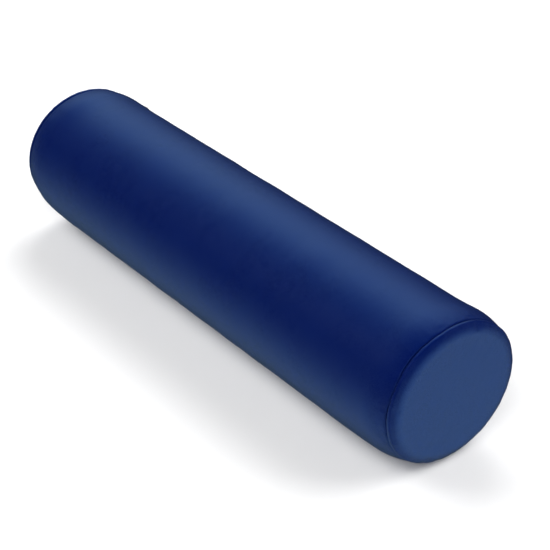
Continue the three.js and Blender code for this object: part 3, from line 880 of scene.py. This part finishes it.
def zip_coil(name, side):
    """A continuous monofilament wound round a filler cord, each turn a tooth with a swollen head."""
    turns, per_turn, square = int(2 * COIL_X / COIL_PITCH), 12, 0.82
    t = np.arange(turns * per_turn + 1) / per_turn
    turn = TAU * (t + (0.5 if side > 0 else 0))
    c, s = np.cos(turn), np.sin(turn)
    x = -COIL_X + COIL_WIRE + t / turns * 2 * (COIL_X - COIL_WIRE)
    y = SIDE + COIL_MIDDLE_Y + COIL_HALF_HEIGHT * squarish(s, square)
    z = AXIS_Z + side * (COIL_MIDDLE_Z + COIL_HALF_WIDTH * squarish(c, square))
    head = bell(c + 1, 0.35)
    parts = Mesh()
    parts.add(*tube(np.stack([x, y, z], -1), COIL_WIRE * (1 + 0.10 * head)))
    cord_x = np.linspace(-COIL_X, COIL_X, 90)
    cord = [(x, SIDE + COIL_MIDDLE_Y, AXIS_Z + side * FILLER_Z) for x in cord_x]
    parts.add(*tube(cord, FILLER_RADIUS, sides=8))
    return parts.build(name, NAVY_COIL)


def zip_stop(node):
    """A metal band crimped round the coil, so that it bulges beside the crimp."""
    low, high = cad(node)
    middle, half = (low + high) / 2, (high - low) / 2
    half_stations = np.array([0, 0.25, 0.55, 0.8, 0.94, 1])
    half_sizes = np.array([0.90, 0.95, 1.0, 0.98, 0.91, 0.80])
    stations = np.concatenate([-half_stations[:0:-1], half_stations])
    sizes = np.concatenate([half_sizes[:0:-1], half_sizes])
    sides = 32
    turn = np.arange(sides) * TAU / sides
    ring_y = half[1] * squarish(np.sin(turn), 0.45)
    ring_z = half[2] * squarish(np.cos(turn), 0.45)
    rings = []
    for station, size in zip(stations, sizes):
        x = np.full(sides, middle[0] + half[0] * station)
        rings.append(np.stack([x, middle[1] + ring_y * size, middle[2] + ring_z * (0.5 + 0.5 * size)], -1))
    faces = capped_faces(len(rings), sides)
    return outward(make_object(f"{node}_band", np.concatenate(rings), faces, STOP_METAL))


def slab(outlines, thickness, edge, middle):
    """A flat plate in the XZ plane with rounded edges and holes, as verts and faces."""
    curve = bpy.data.curves.new("outline", "CURVE")
    curve.dimensions = "2D"
    curve.fill_mode = "BOTH"
    curve.extrude = thickness / 2 - edge
    curve.bevel_depth = edge
    curve.bevel_resolution = 3
    curve.offset = -edge
    for outline in outlines:
        spline = curve.splines.new("POLY")
        spline.points.add(len(outline) - 1)
        for point, (x, z) in zip(spline.points, outline):
            point.co = (x, z, 0, 1)
        spline.use_cyclic_u = True
    obj = add_object("outline", curve)
    mesh = evaluated_mesh(obj)
    verts = np.array([(v.co.x, -v.co.z, v.co.y) for v in mesh.vertices]) + np.array(middle)
    faces = [tuple(p.vertices) for p in mesh.polygons]
    bpy.data.objects.remove(obj)
    bpy.data.meshes.remove(mesh)
    bpy.data.curves.remove(curve)
    return verts, faces


def rounded(corners, radius):
    """A polygon's outline with rounded corners."""
    corners = np.asarray(corners, float)
    outline = []
    for i, corner in enumerate(corners):
        before = corners[i - 1] - corner
        after = corners[(i + 1) % len(corners)] - corner
        start = corner + before / np.linalg.norm(before) * radius
        stop = corner + after / np.linalg.norm(after) * radius
        for t in np.linspace(0, 1, 6):
            outline.append((1 - t) ** 2 * start + 2 * t * (1 - t) * corner + t * t * stop)
    return outline


def box_outline(x_low, x_high, z_low, z_high, radius):
    return rounded([(x_low, z_low), (x_high, z_low), (x_high, z_high), (x_low, z_high)], radius)


def mirror_z(points):
    """An outline's half followed by its mirror image."""
    return points + [(x, -z) for x, z in points[::-1]]


def zip_slider():
    """A cast slider: two shields, the post and flanges between them, and the bail that holds the pull."""
    low, high = cad("zip_slider")
    middle_x, half = (low[0] + high[0]) / 2, (high[0] - low[0]) / 2
    front, rear = 5.0, 4.7  # half widths
    parts = Mesh()

    def plate(outline, thickness, edge, y):
        parts.add(*slab([outline], thickness, edge, (middle_x, SIDE + y, AXIS_Z)))

    corners = [(-half, front - 1.1), (-half + 1.5, front), (half - 2.0, rear), (half, rear - 1.2)]
    shield = rounded(mirror_z(corners), 0.8)
    plate(shield, 1.1, 0.32, 0.65)
    plate(shield, 1.1, 0.32, -4.65)
    crown = rounded(mirror_z([(-half + 1.3, front - 2.0), (half - 1.6, rear - 2.1)]), 1.2)
    plate(crown, 0.7, 0.25, 1.02)
    rail = box_outline(-half + 1.7, half - 1.7, 3.9, 4.65, 0.35)
    plate(rail, 3.0, 0.2, -0.95)
    plate([(x, -z) for x, z in rail][::-1], 3.0, 0.2, -0.95)
    post = rounded([(-half + 0.6, -0.24), (-half + 4.3, -0.2), (-half + 4.3, 0.2), (-half + 0.6, 0.24)], 0.15)
    plate(post, 4.6, 0.04, -2.0)
    parts.add(*bail(middle_x))
    return outward(parts.build("zip_slider_casting", ENAMEL))


def bail(middle_x):
    """An arch of flat bar, rounded at its edges, whose feet stand in the upper shield."""
    foot, foot_y = 1.95, 0.9
    turn = np.linspace(0, math.pi, 15)
    x = np.concatenate([[foot], foot * squarish(np.cos(turn), 0.6), [-foot]])
    y = np.concatenate([[foot_y], 1.05 + 2.70 * np.sin(turn) ** 0.6, [foot_y]])
    along = np.gradient(np.stack([x, y], -1), axis=0)
    along /= np.linalg.norm(along, axis=1)[:, None]
    sides = 16
    section = np.arange(sides) * TAU / sides
    wide = 1.2 * squarish(np.cos(section), 0.5)
    thick = 0.5 * squarish(np.sin(section), 0.6)
    rings = [
        np.stack([middle_x + px - ty * thick, SIDE + py + tx * thick, AXIS_Z + wide], -1)
        for px, py, (tx, ty) in zip(x, y, along)
    ]
    return np.concatenate(rings), capped_faces(len(rings), sides)


PULL_BACK = 0.6  # from the tab's end to the axis that it swings on
PULL_TIP = 3.3  # half the width of its round tip


def zip_pull():
    """A flat tab with an eye, a raised rim round a sunk face, and grip bars near its tip."""
    low, high = cad("zip_pull_tab")
    pivot = (low[0] + PULL_BACK, (low[1] + high[1]) / 2, AXIS_Z)
    end = high[0] - low[0] - PULL_BACK
    outline = pull_outline(0.0, end)
    eye = rounded([(0.55, -1.6), (0.55, 1.6), (4.0, 1.6), (4.0, -1.6)], 0.5)
    inner = [p for p in pull_outline(0.95, end) if p[0] > 5.6]
    parts = Mesh()
    parts.add(*slab([outline, eye], 0.84, 0.22, pivot))
    parts.add(*slab([outline, eye, inner], 1.2, 0.24, pivot))
    for i in range(4):
        x = end - 3.2 - 1.5 * i
        parts.add(*slab([box_outline(x - 0.3, x + 0.3, -1.7, 1.7, 0.25)], 1.16, 0.1, pivot))
    return outward(parts.build("zip_pull_tab_casting", ENAMEL))


def pull_outline(inset, end):
    """The tab's outline, this far inside its edge."""
    back, eye_half, tip_half = inset - PULL_BACK, 2.7 - inset, PULL_TIP - inset
    corner = [(back, eye_half - 0.5), (back + 0.15, eye_half - 0.15), (back + 0.5, eye_half)]
    neck = [(5 + 8 * a, eye_half + (tip_half - eye_half) * smoothstep(0, 1, a)) for a in np.linspace(0, 1, 9)]
    turn = np.linspace(math.pi / 2, 0, 17)[1::2]
    tip = [(end - PULL_TIP + tip_half * math.cos(a), tip_half * math.sin(a)) for a in turn]
    return mirror_z(corner + neck + [(end - PULL_TIP, tip_half)] + tip)


for row, side in (("upper", 1), ("lower", -1)):
    tape = finish_piece(zip_tape(f"zip_tape_{row}_weave", side))
    finish_piece(zip_coil(f"zip_coil_{row}_spiral", side))
    finish_piece(zip_stop(f"zip_top_stop_{row}"))
finish_piece(zip_stop("zip_bottom_stop"))
finish_piece(zip_slider(), "zip_slider")
finish_piece(zip_pull(), "zip_pull")


# ---- the care label ----

LABEL_LOW, LABEL_HIGH, LABEL_LENGTH = 20.0, 46.0, 31.0


def care_label():
    """A blank satin ribbon caught in the far end seam, lying on the tube with its free end curled."""
    along = np.concatenate([[-0.5, -0.2], np.linspace(0.3, LABEL_LENGTH, 34)])
    height = np.linspace(LABEL_LOW, LABEL_HIGH, 27)
    grid_s, grid_h = grid(along, height)
    share = np.clip(grid_s / LABEL_LENGTH, 0, 1)
    across = (grid_h - LABEL_LOW) / (LABEL_HIGH - LABEL_LOW)
    curl = 1.1 * share**3 * (0.4 + 0.6 * (2 * across - 1) ** 2)
    wave = 0.25 * share * np.sin(5.0 * across + 0.4) + 0.18 * np.sin(TAU * share * 1.2) * share
    rise = 0.42 + curl + np.maximum(wave, -0.15)
    rise = np.where(grid_s < 0.3, -0.9 - grid_s, rise)
    verts = on_skin(grid_s - W_SEAM, angle_at(grid_h), rise)
    label = make_object("care_label_ribbon", verts, grid_faces(len(along), len(height)), RIBBON)
    return solidify(look_towards(label, (-280, 400, 200)), 0.3)


label = finish_piece(care_label())


# ---- the filling ----

WRAP_TOP, WRAP_THICKNESS = 2.25, 4.0  # depth of its outside, and its thickness
CORE_HALF_LENGTH, CORE_EDGE = cad("foam_core")[1][0], 16.0
CORE_RADIUS = cad("foam_core")[1][1] / WIDER
CORE_FLAT = 7.4  # height of the core's underside
PAD_TOP, PAD_RADIUS = 4.3, 61.5
ON_AXIS = 0.1  # radius of the small hole that a turned body is drawn with, and that is then closed
FILLING_COLUMNS = 144


def close_ends(bm):
    """Merges a turned body's smallest rings and fills the holes they leave."""
    bmesh.ops.remove_doubles(bm, verts=bm.verts, dist=0.05 * MM)
    bmesh.ops.holes_fill(bm, edges=bm.edges, sides=0)


def turned(name, x, r, floor, material, uneven):
    """A closed body turned about the roll's axis, then spread, lifted and settled as the cover is."""
    angle = np.arange(FILLING_COLUMNS) * TAU / FILLING_COLUMNS
    x, r = (np.asarray(v, float)[:, None] for v in (x, r))
    wobble = uneven * np.cos(3 * angle + 0.02 * x) * np.cos(0.045 * x + 5 * angle) * np.clip(r / 20, 0, 1)
    r = r - uneven + wobble
    y = r * np.cos(angle) * WIDER
    z = AXIS_Z + r * np.sin(angle) * LOWER + end_lift(x)
    verts = np.stack(np.broadcast_arrays(x, y, settle(z, floor)), -1)
    body = make_object(name, verts, grid_faces(len(x), FILLING_COLUMNS, wrap=True), material)
    return outward(body, close_ends)


def foam_core():
    turn = np.linspace(0, math.pi / 2, 9)[1:]
    flat = CORE_HALF_LENGTH - CORE_EDGE
    half_x = np.concatenate([np.full(6, CORE_HALF_LENGTH), flat + CORE_EDGE * np.cos(turn)])
    face_r = np.linspace(ON_AXIS, CORE_RADIUS - CORE_EDGE, 6)
    half_r = np.concatenate([face_r, CORE_RADIUS - CORE_EDGE + CORE_EDGE * np.sin(turn)])
    middle = np.linspace(flat, -flat, 60)[1:-1]
    x = np.concatenate([half_x, middle, -half_x[::-1]])
    r = np.concatenate([half_r, np.full(len(middle), CORE_RADIUS), half_r[::-1]])
    return turned("foam_core_block", x, r, CORE_FLAT, CREAM_FOAM, 0.1)


def fibre_wrap():
    """Batting rolled round the core, its two long edges apart under the zip."""
    opening = float(angle_at(21.5))
    angle = np.linspace(opening, TAU - opening, 150)
    w = np.linspace(-W_SEAM + 13, W_SEAM - 13, 120)
    grid_w, grid_a = grid(w, angle)
    loft = 0.25 * waves(grid_a, 20, 50, 0.4, 3) * np.cos(grid_w / 9.0)
    verts = place(grid_w, WRAP_TOP - np.clip(loft, -0.3, 0.3), grid_a)
    wrap = make_object("fibre_wrap_batting", verts, grid_faces(len(w), len(angle)), BATTING)
    return solidify(look_towards(wrap, ABOVE), WRAP_THICKNESS)


def end_pad(name, end):
    """A round of batting between the core's end and the end panel."""
    u = np.concatenate([np.linspace(ON_AXIS, FACE_RADIUS, 14), np.linspace(FACE_RADIUS, PAD_RADIUS, 8)[1:]])
    w = W_END - u
    front_x = np.interp(w, OUT_W, OUT_X) + np.interp(w, OUT_W, OUT_NX) * PAD_TOP
    front_r = np.maximum(np.interp(w, OUT_W, OUT_R) + np.interp(w, OUT_W, OUT_NR) * PAD_TOP, ON_AXIS)
    x = np.concatenate([front_x, np.full(12, CORE_HALF_LENGTH + 0.4)])
    r = np.concatenate([front_r, np.linspace(front_r[-1], ON_AXIS, 12)])
    return turned(name, end * x, r, 0, BATTING, 0.05)


for piece, kind, fill in (
    (foam_core(), "foam", 1.0),
    (fibre_wrap(), "batting", 0.6),
    (end_pad("near_end_pad_batting", 1), "batting", 0.7),
    (end_pad("far_end_pad_batting", -1), "batting", 0.7),
):
    finish_piece(piece)


# ---- camera, light and floor ----

ROLL_CENTRE = Vector((0, 0, RADIUS * MM))
CAMERA_AZIMUTH, CAMERA_ELEVATION = 53.63, 30.45  # degrees
CAMERA_DISTANCE = 21.0 * RADIUS * MM
SENSOR, LENS = 36.0, 104.6  # millimetres
TURN_RIGHT, TURN_DOWN = 1.0433, 0.7314  # degrees by which the camera looks past the roll's middle


def way(azimuth, elevation):
    """The direction from the roll towards this azimuth (0 is -Y, 90 is +X) and elevation, in degrees."""
    a, e = math.radians(azimuth), math.radians(elevation)
    return Vector((math.sin(a) * math.cos(e), -math.cos(a) * math.cos(e), math.sin(e)))


def add_camera():
    data = bpy.data.cameras.new("camera")
    data.sensor_width = SENSOR
    data.lens = LENS
    data.clip_end = 50
    camera = add_object("camera", data)
    back = way(CAMERA_AZIMUTH, CAMERA_ELEVATION)
    camera.location = ROLL_CENTRE + back * CAMERA_DISTANCE
    aim = (-back).to_track_quat("-Z", "Y").to_matrix()
    right, up = aim.col[0], aim.col[1]
    look = -back + right * math.tan(math.radians(TURN_RIGHT)) - up * math.tan(math.radians(TURN_DOWN))
    camera.rotation_euler = look.to_track_quat("-Z", "Y").to_euler()
    bpy.context.scene.camera = camera


def add_softbox(azimuth):
    """A soft lamp that lights the object and the floor, but isn't seen in the gloss."""
    data = bpy.data.lights.new(f"softbox_{azimuth}", "AREA")
    data.shape = "RECTANGLE"
    data.size = data.size_y = SOFTBOX_SIZE
    data.energy = SOFTBOX_WATTS
    light = add_object(data.name, data)
    towards = way(azimuth, SOFTBOX_ELEVATION)
    light.location = ROLL_CENTRE + towards * SOFTBOX_DISTANCE
    light.rotation_euler = towards.to_track_quat("Z", "Y").to_euler()
    light.visible_glossy = False


def add_floor():
    """A pale studio floor that curves up into walls all round."""
    m = Material("studio_floor")
    grain = m.noise(0.004, 4.0)
    m.set(Base_Color=m.mix(grain, rgb(0.86, 0.86, 0.86), rgb(0.89, 0.89, 0.89)))
    m.set(Roughness=0.9, Specular_IOR_Level=0.1)
    turn = np.linspace(0, math.pi / 2, 24)[1:]
    radius = np.concatenate([[0.001, 1, 2, 3], 3 + 2 * np.sin(turn), [5, 5]])[:, None]
    height = np.concatenate([[0, 0, 0, 0], 2 * (1 - np.cos(turn)), [4, 6]])[:, None]
    around = np.arange(96) * TAU / 96
    verts = np.stack(np.broadcast_arrays(radius * np.cos(around), radius * np.sin(around), height), -1)
    faces = grid_faces(len(radius), len(around), wrap=True)
    floor = make_object("studio_floor", verts / MM, faces, m.material)
    floor.visible_glossy = False


# The broad soft glows that the satin vinyl mirrors: azimuth, elevation, strength, tightness
FLOOR_ON_THE_RIGHT = (110, -30, 1.6, 4.0)
FLOOR_IN_FRONT = (320, -45, 0.7, 5.0)
HIGH_BACK_LEFT = (240, 40, 1.2, 8.0)
SKY_COLOUR = rgb(0.45, 0.72, 1.0)


def add_world():
    """Surroundings that only the gloss sees: each glow is brightest at its middle and fades all round."""
    world = bpy.data.worlds.new("studio")
    bpy.context.scene.world = world
    world.use_nodes = True
    sky = Nodes(world.node_tree)
    where = sky.node("ShaderNodeTexCoord").outputs["Generated"]
    total = 0.0
    for azimuth, elevation, strength, tightness in (FLOOR_ON_THE_RIGHT, FLOOR_IN_FRONT, HIGH_BACK_LEFT):
        ways = {0: where, 1: way(azimuth, elevation)}
        near = sky.node("ShaderNodeVectorMath", ways, operation="DOT_PRODUCT").outputs["Value"]
        fall = sky.math("MULTIPLY", sky.math("SUBTRACT", near, 1.0), tightness)
        glow = sky.math("MULTIPLY", sky.math("EXPONENT", fall), strength)
        total = sky.math("ADD", total, glow)
    background = world.node_tree.nodes["Background"]
    sky.put(background.inputs["Strength"], total)
    sky.put(background.inputs["Color"], SKY_COLOUR)
    world.cycles_visibility.diffuse = False


SOFTBOX_WATTS, SOFTBOX_ELEVATION = 40, 40
SOFTBOX_DISTANCE, SOFTBOX_SIZE = 2.6, 1.5

add_camera()
add_floor()
add_world()
for azimuth in (45, 135, 225, 315):
    add_softbox(azimuth)
bpy.context.scene.view_settings.view_transform = "Standard"
